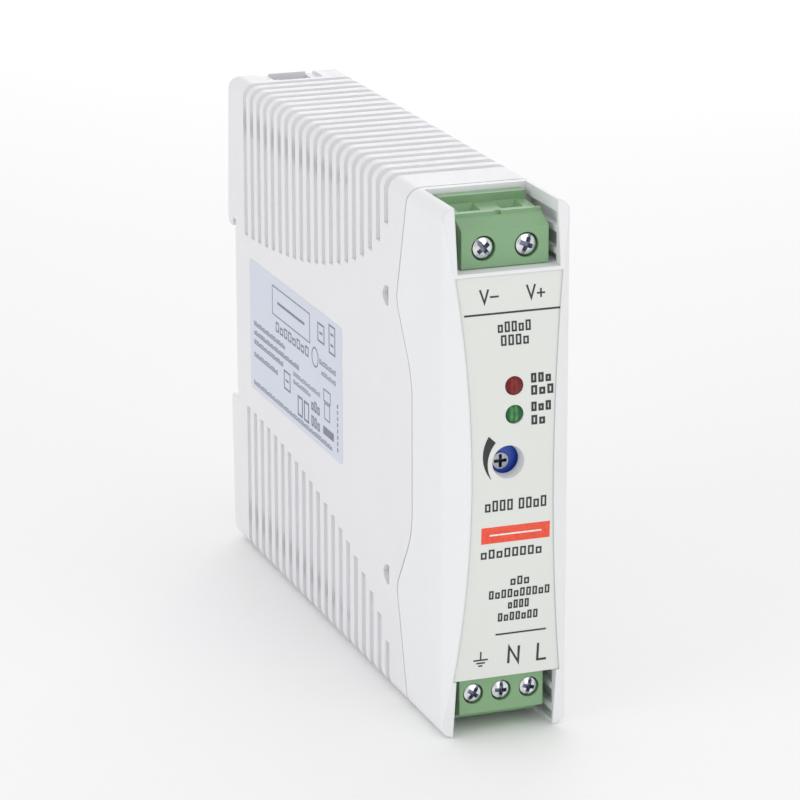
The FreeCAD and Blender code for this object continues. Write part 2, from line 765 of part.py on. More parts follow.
def rating_label():
    """Rating sticker on the left side, without print."""
    outer = "-case_width / 2 - rating_thickness"
    sticker = box("rating_label", (outer, "-case_width / 2"), ("-rating_front", "-rating_back"),
                  ("-rating_low", "rating_high"))
    return part(sticker, "rating_label")


# ---------------------------------------------------------------------------------------------
# Rail latch and its spring
# ---------------------------------------------------------------------------------------------


def din_latch():
    """Sliding foot that snaps under the rail: plate, bevelled nose, wings and a pry slot."""
    corners = [
        ("-latch_inner", "-latch_low"),
        ("latch_low_outer", "-latch_low"),
        ("latch_outer", "-latch_nose_root"),
        ("latch_nose_tip", "-latch_nose"),
        ("latch_nose_gap", "-latch_nose"),
        ("latch_nose_gap", "-latch_shoulder"),
        ("-latch_inner", "-latch_shoulder"),
    ]
    plate = slab("latch_plate", "YZ_Plane", corners, "-latch_half_width", "latch_half_width")
    wing_half = "(latch_half_width + latch_wing)"
    wings = box("latch_wings", ("-" + wing_half, wing_half), ("-latch_inner", "wing_outer"),
                ("-wing_low", "-wing_top - 0.05"))
    window_across = ("-spring_window_half", "spring_window_half")
    window_height = ("-spring_window_low", "-spring_window_top")
    window = box("latch_window", window_across, ("-latch_outer", "latch_outer + 1"), window_height)
    slot_across = ("-latch_half_width / 2", "latch_half_width / 2")
    slot_height = ("1 - latch_low", "2.4 - latch_low")
    pry_slot = box("latch_pry_slot", slot_across, ("0.6", "latch_outer + 1"), slot_height)
    return part(cut("din_latch", fuse("latch_body", [plate, wings]), [window, pry_slot]), "din_latch")


def latch_spring():
    """Compression spring between the latch and the housing's spring rib."""
    low = "0.25 - spring_seat"
    free = "spring_seat - spring_window_top - 0.5"
    helix = doc.addObject("Part::Helix", "spring_line")
    bind(helix, "Radius", "spring_radius")
    bind(helix, "Pitch", "(%s) / spring_turns" % free)
    bind(helix, "Height", free)
    bind(helix, "Placement.Base.y", "spring_y")
    bind(helix, "Placement.Base.z", low)
    wire = doc.addObject("Part::Circle", "spring_section")
    wire.Placement.Rotation = FreeCAD.Rotation(FreeCAD.Vector(1, 0, 0), 90)
    bind(wire, "Radius", "spring_wire")
    bind(wire, "Placement.Base.x", "spring_radius")
    bind(wire, "Placement.Base.y", "spring_y")
    bind(wire, "Placement.Base.z", low)
    coil = doc.addObject("Part::Sweep", "latch_spring")
    coil.Sections = [wire]
    coil.Spine = (helix, [])
    coil.Solid = True
    coil.Frenet = True
    return part(coil, "latch_spring")


# ---------------------------------------------------------------------------------------------
# Terminal blocks
# ---------------------------------------------------------------------------------------------


def wire_funnel(name, kind, x):
    """A four-sided funnel that narrows from the deck down to the round wire entry."""
    side = TERMINALS[kind]["side"]
    funnel = doc.addObject("Part::Wedge", name)
    funnel.Placement.Rotation = FreeCAD.Rotation(FreeCAD.Vector(1, 0, 0), 90 * side)
    for axes, half in ((("X", "Z"), kind + "_entry_radius"), (("X2", "Z2"), kind + "_funnel_half")):
        for axis in axes:
            bind(funnel, axis + "min", "-" + half)
            bind(funnel, axis + "max", half)
    funnel.Ymin = 0
    bind(funnel, "Ymax", "funnel_depth + 0.01")
    bind(funnel, "Placement.Base.x", x)
    bind(funnel, "Placement.Base.y", "-entry_depth")
    bind(funnel, "Placement.Base.z", "%d * (%s_base + %s_deck - funnel_depth)" % (side, kind, kind))
    return funnel


def terminal_body(kind):
    """Moulded block: screw holes in the face, clamp cells inside, funnelled wire entries on top."""
    side = TERMINALS[kind]["side"]

    def level(height):
        return "%d * (%s_base + %s)" % (side, kind, height)

    deck = "%s_deck" % kind
    ridge = "%s_ridge_top" % kind
    corners = [
        ("-block_face", level("0")),
        ("-block_face", level(kind + "_face_top")),
        ("-ridge_front", level(ridge + " - 0.5")),
        ("-ridge_front", level(ridge)),
        ("-ridge_back", level(ridge)),
        ("-ridge_back + 0.2", level(deck + " - 0.4")),
        ("-entry_deck_back", level(deck)),
        ("-entry_deck_back", level(kind + "_top")),
        ("-block_back", level(kind + "_top")),
        ("-block_back", level("0")),
    ]
    left = "%s_x - %s_half_width" % (kind, kind)
    right = "%s_x + %s_half_width" % (kind, kind)
    moulding = slab(kind + "_moulding", "YZ_Plane", corners, left, right)
    tools = []
    for pole, x in enumerate(pole_places(kind), start=1):
        name = "%s_%d_" % (kind, pole)
        screw_z = level(kind + "_rise")
        hole = kind + "_hole_radius"
        tools.append(rod(name + "head_hole", "y", (x, screw_z), ("-block_face - 1", "-head_back"), hole))
        shank = kind + "_thread_radius + 0.1"
        tools.append(rod(name + "shank_hole", "y", (x, screw_z), ("-head_front", "-clamp_front"), shank))
        half = "(%s_clamp_half + cell_gap)" % kind
        low = "(%s_rise - %s_clamp_low - 0.3 - bar_thickness)" % (kind, kind)
        high = "(%s_rise + %s_clamp_high + cell_gap)" % (kind, kind)
        across = ("%s - %s" % (x, half), "%s + %s" % (x, half))
        cell_height = terminal_span(kind, low, high)
        tools.append(box(name + "cell", across, ("-cell_front", "-cell_back"), cell_height))
        entry = terminal_span(kind, high + " - 0.1", kind + "_top + 1")
        centre = (x, "-entry_depth")
        tools.append(rod(name + "entry", "z", centre, entry, kind + "_entry_radius"))
        tools.append(wire_funnel(name + "funnel", kind, x))
    tools += pin_slots(kind, "block_slot", "bar_front", "block_back - 1", "pin_clearance")
    if kind == "output":
        notch_height = terminal_span(kind, ridge + " - 0.6", ridge + " + 0.4")
        notch_across = ("output_x - 0.5", "output_x + 0.5")
        notch_depth = ("-ridge_front - 0.6", "0.5 - ridge_front")
        tools.append(box("ridge_notch", notch_across, notch_depth, notch_height))
    return part(cut(kind + "_terminal_body", moulding, tools), kind + "_terminal_body")


def turned_bar(name, x, z, half_long, half_wide, depth, angle):
    """A bar for a screw's recess, turned about the screw's axis and open to the front."""
    solid = doc.addObject("Part::Box", name)
    solid.Placement.Rotation = FreeCAD.Rotation(FreeCAD.Vector(0, 1, 0), angle)
    bind(solid, "Length", "2 * %s" % half_long)
    bind(solid, "Height", "2 * %s" % half_wide)
    bind(solid, "Width", depth + " + 1")
    halves = (half_long, angle, half_wide, angle)
    bind(solid, "Placement.Base.x", x + " - (%s) * cos(%g) - (%s) * sin(%g)" % halves)
    bind(solid, "Placement.Base.y", "-head_front - 1")
    bind(solid, "Placement.Base.z", z + " + (%s) * sin(%g) - (%s) * cos(%g)" % halves)
    return solid


def terminal_screw(kind, pole, x):
    """Clamp screw: domed head with a combined slot and cross recess, each screw left at its own turn."""
    name = "%s_screw_%d" % (kind, pole)
    z = "%d * (%s_base + %s_rise)" % (TERMINALS[kind]["side"], kind, kind)
    head_radius = kind + "_head_radius"
    drum = rod(name + "_drum", "y", (x, z), ("-head_front", "-head_back"), head_radius)
    dome_radius = "head_dome * " + head_radius
    dome = ball(name + "_dome", x, dome_radius + " - head_front", z, dome_radius)
    head = common(name + "_head", [drum, dome])
    tip = "-bar_front - tip_gap"
    shank = rod(name + "_shank", "y", (x, z), ("-head_back - 0.1", tip), kind + "_thread_radius")
    angle = SCREW_TURNS[name]
    arm = ("(%s * 0.68)" % head_radius, "(%s * 0.22)" % head_radius, "1.3")
    tools = [
        turned_bar(name + "_slot", x, z, "(%s * 1.1)" % head_radius, "0.28", "0.7", angle),
        turned_bar(name + "_cross_1", x, z, *arm, angle),
        turned_bar(name + "_cross_2", x, z, *arm, angle + 90),
    ]
    return part(cut(name, fuse(name + "_blank", [head, shank]), tools), name)


def terminal_clamp(kind, pole, x):
    """Rising clamp: a square cage with a threaded front wall, open above and below for the wire."""
    name = "%s_clamp_%d" % (kind, pole)
    half = kind + "_clamp_half"
    low, high = "{0}_rise - {0}_clamp_low".format(kind), "{0}_rise + {0}_clamp_high".format(kind)
    upright = terminal_span(kind, low, high)
    outer = box(name + "_outer", ("%s - %s" % (x, half), "%s + %s" % (x, half)),
                ("-clamp_front", "-clamp_back"), upright)
    inner_half = "(%s - clamp_side_wall)" % half
    window = box(name + "_window", ("%s - %s" % (x, inner_half), "%s + %s" % (x, inner_half)),
                 ("clamp_front_wall - clamp_front", "-clamp_back - clamp_back_wall"),
                 ("-" + BEYOND, BEYOND))
    z = "%d * (%s_base + %s_rise)" % (TERMINALS[kind]["side"], kind, kind)
    thread = rod(name + "_thread", "y", (x, z), ("-clamp_front - 1", "clamp_front_wall - clamp_front + 0.5"),
                 kind + "_thread_radius + 0.05")
    return part(cut(name, outer, [window, thread]), name)


def terminal_contacts(kind):
    """Fixed contact bars, one a pole, each with a foot that runs back as a solder pin."""
    pieces = []
    for pole, x in enumerate(pole_places(kind), start=1):
        name = "%s_contact_%d" % (kind, pole)
        half = "(%s_clamp_half - clamp_side_wall - 0.3)" % kind
        foot_high = "(%s_rise - %s_clamp_low - 0.15)" % (kind, kind)
        foot_low = "(%s - bar_thickness)" % foot_high
        bar_height = terminal_span(kind, foot_low, "%s_rise + %s_clamp_high" % (kind, kind))
        bar_depth = ("-bar_front", "bar_thickness - bar_front")
        bar_across = ("%s - %s" % (x, half), "%s + %s" % (x, half))
        pieces.append(box(name + "_bar", bar_across, bar_depth, bar_height))
        foot = terminal_span(kind, foot_low, foot_high)
        across = ("%s - pin_width / 2" % x, "%s + pin_width / 2" % x)
        pieces.append(box(name + "_pin", across, ("-bar_front", "-pin_end"), foot))
    return part(fuse(kind + "_contacts", pieces), kind + "_contacts")


# ---------------------------------------------------------------------------------------------
# Boards, lamps and trimmer
# ---------------------------------------------------------------------------------------------


def boards():
    """Main board along the right wall, front board behind the pockets, small board behind the panel."""
    upright = ("-main_board_half_height", "main_board_half_height")
    across = ("main_board_face", "main_board_face + board_thickness")
    part(box("main_board", across, ("-main_board_front", "-main_board_back"), upright), "main_board")
    half = "front_board_half_width"
    blank = box("front_board_blank", ("-" + half, half),
                ("-front_board_front", "board_thickness - front_board_front"),
                ("-front_board_half_height", "front_board_half_height"))
    slots = []
    for kind in TERMINALS:
        slots += pin_slots(kind, "board_slot", "front_board_front + 1", "front_board_front - 3", "0.05")
    part(cut("front_board", blank, slots), "front_board")
    half = "small_board_half_width"
    small_depth = ("-small_board_front", "board_thickness - small_board_front")
    small_height = ("-small_board_low", "small_board_high")
    part(box("indicator_board", ("-" + half, half), small_depth, small_height), "indicator_board")


def pin_header(name, places, front, back, z):
    """A strip of square pins through a moulded body, between two boards."""
    pieces = []
    for place, x in enumerate(places, start=1):
        across = (x + " - 0.32", x + " + 0.32")
        upright = (z + " - 0.32", z + " + 0.32")
        pieces.append(box("%s_pin_%d" % (name, place), across, (front, back), upright))
    body = box(name + "_body", (places[0] + " - 1.2", places[-1] + " + 1.2"),
               (front + " + 2.5", back + " - 2.5"), (z + " - 1.2", z + " + 1.2"))
    return part(fuse(name, [body] + pieces), name)


def lamp(name):
    """Round lamp: domed lens, flange and two leads down to the small board."""
    z = "led_%s_z" % name
    centre = ("led_x", z)
    nose = rod("lamp_nose_" + name, "y", centre, ("-led_tip", "1.5 - led_tip"), "led_radius")
    sphere = ball("lamp_sphere_" + name, "led_x", "led_dome - led_tip", z, "led_dome")
    dome = common("lamp_dome_" + name, [nose, sphere])
    barrel = rod("lamp_barrel_" + name, "y", centre, ("1.4 - led_tip", "-led_flange_depth"), "led_radius")
    flange_depth = ("-led_flange_depth", "1 - led_flange_depth")
    flange = rod("lamp_flange_" + name, "y", centre, flange_depth, "led_radius + 0.4")
    leads = []
    for side, x in (("left", "led_x - 0.9"), ("right", "led_x + 0.9")):
        leads.append(box("lamp_lead_%s_%s" % (name, side), (x + " - 0.25", x + " + 0.25"),
                         ("0.9 - led_flange_depth", "-small_board_front"), (z + " - 0.25", z + " + 0.25")))
    return part(fuse("led_" + name, [dome, barrel, flange] + leads), "led_" + name)


def trimmer():
    """Single-turn trimmer: square body with a round well, and a rotor with a cross slot."""
    centre = ("trimmer_x", "trimmer_z")
    half = "trimmer_size / 2"
    blank = box("trimmer_blank", ("trimmer_x - " + half, "trimmer_x + " + half),
                ("-trimmer_face", "-small_board_front"), ("trimmer_z - " + half, "trimmer_z + " + half))
    well = rod("trimmer_well", "y", centre, ("-trimmer_face - 1", "rotor_depth - trimmer_face"),
               "rotor_radius + rotor_clearance")
    part(cut("trimmer_body", blank, [well]), "trimmer_body")
    disc = rod("rotor_blank", "y", centre, ("-trimmer_face - 0.25", "rotor_depth - trimmer_face - 0.05"),
               "rotor_radius")
    slots = []
    arm = ("rotor_radius * 0.8", "0.28")
    for name, (half_x, half_z) in (("across", arm), ("up", arm[::-1])):
        slots.append(box("rotor_slot_" + name, ("trimmer_x - " + half_x, "trimmer_x + " + half_x),
                         ("-trimmer_face - 1", "0.7 - trimmer_face"),
                         ("trimmer_z - " + half_z, "trimmer_z + " + half_z)))
    part(cut("trimmer_rotor", disc, slots), "trimmer_rotor")


# ---------------------------------------------------------------------------------------------
# Parts on the main board, all standing on its left face
# ---------------------------------------------------------------------------------------------

FACE = "main_board_face"


def along(name, axis):
    """The span of a component about its own place, in Y (axis 'thickness') or Z (axis 'span')."""
    centre = "-%s_depth" % name if axis == "thickness" else "%s_level" % name
    return ("%s - %s_%s / 2" % (centre, name, axis), "%s + %s_%s / 2" % (centre, name, axis))


def chip(name, label):
    """A moulded box with rows of leads down to the board."""
    body = box(name + "_moulding", (FACE + " - %s_reach" % name, FACE + " - 0.5"),
               along(name, "thickness"), along(name, "span"))
    legs = []
    for row, sign in (("front", -1), ("back", 1)):
        centre = "%d * %s_thickness / 2 - %s_depth" % (sign, name, name)
        for place in (-1, 1):
            z = "%s_level + %d * (%s_span / 2 - 1.4)" % (name, place, name)
            leg = box("%s_leg_%s_%d" % (name, row, place + 1), (FACE + " - 1.6", FACE),
                      (centre + " - 0.25", centre + " + 0.25"), (z + " - 0.4", z + " + 0.4"))
            legs.append(leg)
    return part(fuse(label, [body] + legs), label)


def disc(name, label):
    """A dipped disc that stands on edge on two leads, its axis along Y."""
    centre_x = FACE + " - %s_radius - 1" % name
    body = rod(name + "_disc", "y", (centre_x, name + "_level"), along(name, "thickness"), name + "_radius")
    legs = []
    for place in (-1, 1):
        z = "%s_level + %d * 2.5" % (name, place)
        foot = ("-%s_depth" % name, z)
        legs.append(rod("%s_leg_%d" % (name, place + 1), "x", foot, (centre_x, FACE), "0.3"))
    return part(fuse(label, [body] + legs), label)


def can(name, label, depth):
    """A lying electrolytic can, its axis along Y, with its leads turned down to the board."""
    centre_x = "(%s - %s_radius - 0.4)" % (FACE, name)
    span = ("-(%s)" % depth, "%s_span - (%s)" % (name, depth))
    barrel = rod(label + "_can", "y", (centre_x, name + "_level"), span, name + "_radius")
    bead_centre = (centre_x, "1.6 - (%s)" % depth, name + "_level")
    bead = torus(label + "_bead", "y", bead_centre, name + "_radius + 0.25", "0.5")
    body = cut(label + "_crimped", barrel, [bead])
    pieces = [body]
    for place in (-1, 1):
        z = "%s_level + %d * 1.9" % (name, place)
        pieces.append(box("%s_lead_%d" % (label, place + 1), (centre_x + " - 0.3", FACE),
                          (span[0] + " - 1.3", span[0] + " - 0.7"), (z + " - 0.3", z + " + 0.3")))
        pieces.append(box("%s_stub_%d" % (label, place + 1), (centre_x + " - 0.3", centre_x + " + 0.3"),
                          (span[0] + " - 1.3", span[0] + " + 0.1"), (z + " - 0.3", z + " + 0.3")))
    return part(fuse(label, pieces), label)


def mains_filter():
    """Fuse, thermistor, varistor, film capacitor, choke and bridge rectifier."""
    fuse_span = (FACE + " - fuse_reach", FACE)
    part(rod("fuse", "x", ("-fuse_depth", "fuse_level"), fuse_span, "fuse_radius"), "fuse")
    disc("thermistor", "inrush_thermistor")
    disc("varistor", "varistor")
    film = box("x_capacitor", (FACE + " - x_capacitor_reach", FACE), along("x_capacitor", "thickness"),
               along("x_capacitor", "span"))
    part(film, "x_capacitor")
    centre = (FACE + " - choke_ring - choke_wound - 0.1", "-choke_depth", "choke_level")
    part(torus("choke_core", "y", centre, "choke_ring", "choke_core"), "choke_core")
    bore = torus("choke_bore", "y", centre, "choke_ring", "choke_core + 0.02")
    coils = [
        torus("choke_coil_%d" % place, "y", centre, "choke_ring", "choke_wound", start, 130)
        for place, start in enumerate((25, 205), start=1)
    ]
    part(cut("choke_windings", fuse("choke_coils", coils), [bore]), "choke_windings")
    chip("bridge", "bridge_rectifier")


def transformer():
    """Ferrite frame with a centre leg, a flanged bobbin, its winding and a band of tape."""
    y = "-transformer_depth"
    middle_x = "(%s - transformer_winding - 1.6)" % FACE
    half = "transformer_span / 2"
    leg = "transformer_leg / 2"
    thick = (middle_x + " - " + leg, middle_x + " + " + leg)
    frame = box("ferrite_blank", thick, (y + " - " + half, y + " + " + half), ("-" + half, half))
    windows = []
    for sign, name in ((1, "rear"), (-1, "front")):
        depth = ["%s + %d * %s" % (y, sign, leg), "%s + %d * (%s - 2.6)" % (y, sign, half)]
        windows.append(box("ferrite_window_" + name, (middle_x + " - 10", middle_x + " + 10"),
                           tuple(depth[::sign]), ("2.9 - " + half, half + " - 2.9")))
    part(cut("transformer_core", frame, windows), "transformer_core")
    tube_half = "(transformer_leg / 2 + 0.7)"
    reach = "(%s - 3)" % half
    tube = box("bobbin_tube", (middle_x + " - " + tube_half, middle_x + " + " + tube_half),
               (y + " - " + tube_half, y + " + " + tube_half), ("-" + reach, reach))
    flange_half = "(transformer_winding + 0.5)"
    pieces = [tube]
    for sign, name in ((1, "upper"), (-1, "lower")):
        height = ["%d * (%s - 0.9)" % (sign, reach), "%d * %s" % (sign, reach)]
        upright = tuple(height[::sign])
        flange_across = (middle_x + " - " + flange_half, middle_x + " + " + flange_half)
        flange_depth = (y + " - " + flange_half, y + " + " + flange_half)
        pieces.append(box("bobbin_flange_" + name, flange_across, flange_depth, upright))
        foot_across = (middle_x + " + " + flange_half + " - 0.2", FACE)
        pieces.append(box("bobbin_foot_" + name, foot_across, flange_depth, upright))
    hole_half = "(transformer_leg / 2 + 0.02)"
    hole = box("bobbin_hole", (middle_x + " - " + hole_half, middle_x + " + " + hole_half),
               (y + " - " + hole_half, y + " + " + hole_half), ("-" + BEYOND, BEYOND))
    part(cut("transformer_bobbin", fuse("bobbin_blank", pieces), [hole]), "transformer_bobbin")
    coil_span = ("1 - " + reach, reach + " - 1")
    wound = rod("coil_blank", "z", (middle_x, y), coil_span, "transformer_winding")
    tube_tool = box("coil_core", (middle_x + " - " + tube_half, middle_x + " + " + tube_half),
                    (y + " - " + tube_half, y + " + " + tube_half), ("-" + BEYOND, BEYOND))
    part(cut("transformer_winding_coil", wound, [tube_tool]), "transformer_winding")
    band_span = ("1.6 - " + reach, reach + " - 1.6")
    band = rod("tape_outer", "z", (middle_x, y), band_span, "transformer_winding + 0.3")
    band_bore = rod("tape_bore", "z", (middle_x, y), ("-" + reach, reach), "transformer_winding")
    part(cut("transformer_tape", band, [band_bore]), "transformer_tape")


def power_device(name, label, sink_label):
    """A flat power package against its own aluminium heat sink with a turned-in fin."""
    level = name + "_level"
    top = "(%s - heat_sink_reach)" % FACE
    plate_depth = ("-heat_sink_depth", "heat_sink_thickness - heat_sink_depth")
    upright = (level + " - heat_sink_span / 2", level + " + heat_sink_span / 2")
    plate = box(sink_label + "_plate", (top, FACE + " - 0.5"), plate_depth, upright)
    fin = box(sink_label + "_fin", (top, top + " + heat_sink_thickness"),
              ("-heat_sink_depth - heat_sink_fin", "heat_sink_thickness - heat_sink_depth"), upright)
    part(fuse(sink_label, [plate, fin]), sink_label)
    width = (level + " - %s_span / 2" % name, level + " + %s_span / 2" % name)
    back = "-heat_sink_depth"
    body = box(label + "_moulding", (FACE + " - 4 - 9", FACE + " - 4"),
               (back + " - %s_thickness" % name, back + " - 1.3"), width)
    tab = box(label + "_tab", (FACE + " - 4 - 9.4", FACE + " - 4"), (back + " - 1.31", back), width)
    legs = []
    for place in (-1, 0, 1):
        z = "%s + %d * 2.54" % (level, place)
        legs.append(box("%s_leg_%d" % (label, place + 1), (FACE + " - 4.1", FACE),
                        (back + " - 2.6", back + " - 2.1"), (z + " - 0.4", z + " + 0.4")))
    part(fuse(label, [body, tab] + legs), label)


def axial_parts(name, label):
    """A row of axial parts lying on the board, with leads turned down at both ends."""
    pieces = []
    for place in range(SIZES[name + "_count"]):
        y = "(%d * %s_pitch - %s_depth)" % (place, name, name)
        x = "(%s - %s_radius - 0.2)" % (FACE, name)
        low = "(%s_level - %s_span / 2)" % (name, name)
        high = "(%s_level + %s_span / 2)" % (name, name)
        stem = "%s_%d" % (name, place)
        pieces.append(rod(stem + "_body", "z", (x, y), (low, high), name + "_radius"))
        pieces.append(rod(stem + "_wire", "z", (x, y), (low + " - 1.5", high + " + 1.5"), "0.3"))
        for end, z in (("low", low + " - 1.5"), ("high", high + " + 1.5")):
            pieces.append(box("%s_turn_%s" % (stem, end), (x + " - 0.4", FACE),
                              (y + " - 0.4", y + " + 0.4"), (z + " - 0.4", z + " + 0.4")))
    return part(fuse(label, pieces), label)


def output_inductor():
    """Ferrite drum with its winding, standing on the board."""
    centre = ("-inductor_depth", "inductor_level")
    top = FACE + " - inductor_reach"
    flanges = [
        rod("drum_top", "x", centre, (top, top + " + 1.4"), "inductor_radius"),
        rod("drum_bottom", "x", centre, (FACE + " - 1.4", FACE), "inductor_radius"),
        rod("drum_core", "x", centre, (top, FACE), "inductor_radius / 2"),
    ]
    part(fuse("inductor_core", flanges), "inductor_core")
    coil = rod("drum_coil", "x", centre, (top + " + 1.4", FACE + " - 1.4"), "inductor_radius - 0.3")
    bore = rod("drum_coil_bore", "x", centre, (top, FACE), "inductor_radius / 2")
    part(cut("inductor_winding", coil, [bore]), "inductor_winding")


def insulation_sheet():
    """Thin sheet between the main board's solder side and the right wall."""
    outer = "(case_width / 2 - side_wall - sheet_gap)"
    part(box("insulation_sheet", (outer + " - sheet_thickness", outer), ("-guide_front", "-guide_back"),
             ("-main_board_half_height + 1", "main_board_half_height - 1")), "insulation_sheet")


# ---------------------------------------------------------------------------------------------
# Assembly
# ---------------------------------------------------------------------------------------------

case_solid = common("case_solid", [front_view("front_view", "0"), side_view(), plan_view()])
cover_side = cover_zone()
case_hollow = cavity()
front_cover(case_solid, cover_side, case_hollow)
rear_housing(case_solid, cover_side, case_hollow)
front_label()
rating_label()
din_latch()
latch_spring()
for terminal in TERMINALS:
    terminal_body(terminal)
    terminal_contacts(terminal)
    for position, pole_x in enumerate(pole_places(terminal), start=1):
        terminal_screw(terminal, position, pole_x)
        terminal_clamp(terminal, position, pole_x)
boards()
pin_header("indicator_header", ["-5.08", "-2.54", "0", "2.54", "5.08"],
           "board_thickness - small_board_front", "-front_board_front", "8")
pin_header("board_header", ["-5.08", "-2.54", "0", "2.54"],
           "board_thickness - front_board_front", "10 - front_board_front", "25")
lamp("low")
lamp("on")
trimmer()
mains_filter()
transformer()
chip("controller", "control_chip")
chip("optocoupler", "optocoupler")
disc("y_capacitor", "y_capacitor")
can("bulk_capacitor", "bulk_capacitor", "bulk_capacitor_depth")
can("output_capacitor", "output_capacitor_1", "output_capacitor_depth")
can("output_capacitor", "output_capacitor_2", "output_capacitor_depth - output_capacitor_span - 2.5")
output_inductor()
power_device("switch", "switching_transistor", "primary_heat_sink")
power_device("rectifier", "output_rectifier", "secondary_heat_sink")
axial_parts("resistor", "resistors")
axial_parts("diode", "diodes")
insulation_sheet()
doc.recompute()

for thing in doc.Objects:
    if "Invalid" in thing.State or "Error" in thing.State:
        raise RuntimeError("%s failed: %s" % (thing.Name, thing.State))

os.makedirs("parts", exist_ok=True)
for thing in sub_parts:
    shape = thing.Shape
    if shape.isNull() or not shape.isValid() or not shape.Solids:
        raise RuntimeError("%s has no valid solid" % thing.Label)
    shape.exportStep("parts/%s.step" % thing.Label)
print("%d sub-parts written" % len(sub_parts))
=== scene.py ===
import math
import bpy
import bmesh
from mathutils import Matrix, Vector


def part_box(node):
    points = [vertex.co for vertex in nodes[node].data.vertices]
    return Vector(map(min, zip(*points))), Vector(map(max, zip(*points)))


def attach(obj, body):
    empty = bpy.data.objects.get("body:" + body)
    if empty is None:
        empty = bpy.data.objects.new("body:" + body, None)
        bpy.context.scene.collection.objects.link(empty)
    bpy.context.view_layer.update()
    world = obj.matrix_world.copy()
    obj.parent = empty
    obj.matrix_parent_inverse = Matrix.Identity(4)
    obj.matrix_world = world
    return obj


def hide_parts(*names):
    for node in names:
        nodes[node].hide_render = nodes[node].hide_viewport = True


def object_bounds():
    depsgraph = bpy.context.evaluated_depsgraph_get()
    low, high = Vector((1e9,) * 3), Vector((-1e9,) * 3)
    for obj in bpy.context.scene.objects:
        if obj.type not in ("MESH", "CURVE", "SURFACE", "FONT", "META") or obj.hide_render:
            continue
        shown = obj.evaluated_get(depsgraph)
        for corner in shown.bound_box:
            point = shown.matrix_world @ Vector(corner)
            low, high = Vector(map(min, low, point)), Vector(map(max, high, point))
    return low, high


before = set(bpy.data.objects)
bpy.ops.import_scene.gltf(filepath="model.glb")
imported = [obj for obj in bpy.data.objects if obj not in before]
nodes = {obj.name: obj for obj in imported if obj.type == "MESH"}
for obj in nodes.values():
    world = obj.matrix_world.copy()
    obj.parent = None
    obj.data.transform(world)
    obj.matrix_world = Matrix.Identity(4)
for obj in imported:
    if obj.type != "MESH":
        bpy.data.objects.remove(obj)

cad_low, cad_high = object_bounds()
MM = 0.001
NOISE_RANGE = (0.3, 0.7)  # where most of a noise's values lie

# ------------------------------------------------------------------ materials


def tone(red, green, blue):
    """A display colour, 0 to 255, as a linear colour."""
    def linear(value):
        value /= 255
        return value / 12.92 if value <= 0.04045 else ((value + 0.055) / 1.055) ** 2.4
    return (linear(red), linear(green), linear(blue), 1.0)


def scaled(colour, factor):
    return tuple(min(1.0, part * factor) for part in colour[:3]) + (1.0,)


class Shader:
    """A Principled material whose colour, roughness and bump come from nodes."""

    def __init__(self, name, **fixed):
        self.material = bpy.data.materials.new(name)
        self.material.use_nodes = True
        self.tree = self.material.node_tree
        self.main = self.tree.nodes["Principled BSDF"]
        for socket, value in fixed.items():
            self.main.inputs[socket.replace("_", " ")].default_value = value
        self.place = self.node("ShaderNodeTexCoord").outputs["Object"]
        self.normal = None

    def node(self, kind, **inputs):
        made = self.tree.nodes.new(kind)
        for socket, value in inputs.items():
            self.feed(made.inputs[socket.replace("_", " ")], value)
        return made

    def feed(self, socket, value):
        if isinstance(value, bpy.types.NodeSocket):
            self.tree.links.new(value, socket)
        else:
            socket.default_value = value

    def noise(self, size_mm, detail=2.0, stretch=None):
        """Noise whose features are about size_mm across."""
        where = self.place
        if stretch:
            mapping = self.node("ShaderNodeMapping", Vector=where)
            mapping.inputs["Scale"].default_value = stretch
            where = mapping.outputs["Vector"]
        made = self.node("ShaderNodeTexNoise", Vector=where, Scale=1 / (size_mm * MM), Detail=detail)
        return made.outputs["Fac"]

    def ramp(self, factor, low, high):
        made = self.node("ShaderNodeValToRGB", Fac=factor)
        made.color_ramp.elements[0].position, made.color_ramp.elements[1].position = NOISE_RANGE
        made.color_ramp.elements[0].color, made.color_ramp.elements[1].color = low, high
        return made.outputs["Color"]

    def spread(self, factor, start, end, low, high):
        """The factor's range from start to end, mapped to low to high."""
        made = self.node("ShaderNodeMapRange", Value=factor)
        made.inputs["From Min"].default_value, made.inputs["From Max"].default_value = start, end
        made.inputs["To Min"].default_value, made.inputs["To Max"].default_value = low, high
        return made.outputs["Result"]

    def between(self, noise, low, high):
        return self.spread(noise, *NOISE_RANGE, low, high)

    def blend(self, factor, first, second):
        made = self.tree.nodes.new("ShaderNodeMix")
        made.data_type = "RGBA"
        self.feed(made.inputs[0], factor)
        self.feed(made.inputs[6], first)
        self.feed(made.inputs[7], second)
        return made.outputs[2]

    def math(self, operation, first, second=0.0):
        made = self.tree.nodes.new("ShaderNodeMath")
        made.operation = operation
        self.feed(made.inputs[0], first)
        self.feed(made.inputs[1], second)
        return made.outputs[0]

    def soften(self, radius_mm):
        """Rounds sharp edges in the shading."""
        made = self.node("ShaderNodeBevel", Radius=radius_mm * MM)
        made.samples = 6
        self.normal = made.outputs["Normal"]

    def bump(self, height, strength, depth_mm):
        made = self.node("ShaderNodeBump", Height=height, Strength=strength, Distance=depth_mm * MM)
        if self.normal:
            self.feed(made.inputs["Normal"], self.normal)
        self.normal = made.outputs["Normal"]

    def finish(self, colour=None, roughness=None):
        if colour is not None:
            self.feed(self.main.inputs["Base Color"], colour)
        if roughness is not None:
            self.feed(self.main.inputs["Roughness"], roughness)
        if self.normal:
            self.feed(self.main.inputs["Normal"], self.normal)
        return self.material


